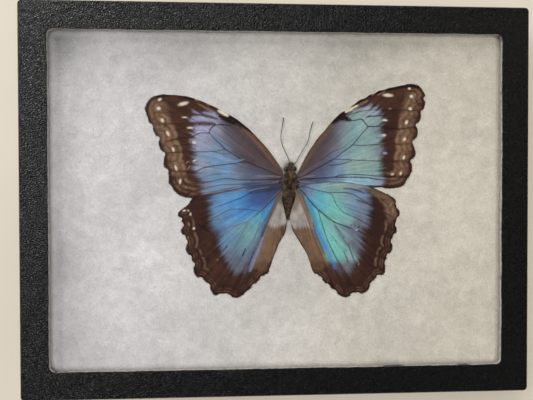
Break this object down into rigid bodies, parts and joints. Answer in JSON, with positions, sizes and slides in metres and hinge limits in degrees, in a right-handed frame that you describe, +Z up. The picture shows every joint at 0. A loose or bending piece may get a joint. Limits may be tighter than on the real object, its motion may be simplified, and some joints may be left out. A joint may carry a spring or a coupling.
{
  "type": "framed butterfly specimen",
  "caption": "Large blue butterfly spread flat on soft white batting inside a shallow black display case with a glass window.",
  "frame": {"origin": "centre of the case's footprint, on the surface that the case rests on", "axes": "+X along the long side of the case, +Y towards the butterfly's head, +Z up through the glass"},
  "size_m": [0.2084, 0.1608, 0.0191],
  "materials": {
    "lid_leatherette": "black grained paper over board, slight sheen",
    "tray_leatherette": "black grained paper over board, matt",
    "window_glass": "clear, polished",
    "white_batting": "soft cloudy fibre, matt",
    "forewing_scales": "iridescent blue scales with a brown margin and cream spots",
    "hindwing_scales": "iridescent blue to aqua scales with a brown scalloped margin",
    "body_hair": "short olive-brown hair, matt",
    "head_shell": "dark hairy head with glossy brown eyes",
    "antenna_shell": "fine grey-brown, matt",
    "pin_steel": "plain bright steel"
  },
  "bodies": {
    "root": {"base_tray": "tray_leatherette", "fiber_batting": "white_batting", "left_forewing": "forewing_scales", "right_forewing": "forewing_scales", "left_hindwing": "hindwing_scales", "right_hindwing": "hindwing_scales", "thorax": "body_hair", "abdomen": "body_hair", "head": "head_shell", "left_antenna": "antenna_shell", "right_antenna": "antenna_shell", "glass_pane": "window_glass", "lid_frame": "lid_leatherette", "left_pin": "pin_steel", "right_pin": "pin_steel", "head_side_pin": "pin_steel", "tail_side_pin": "pin_steel"}
  },
  "joints": []
}
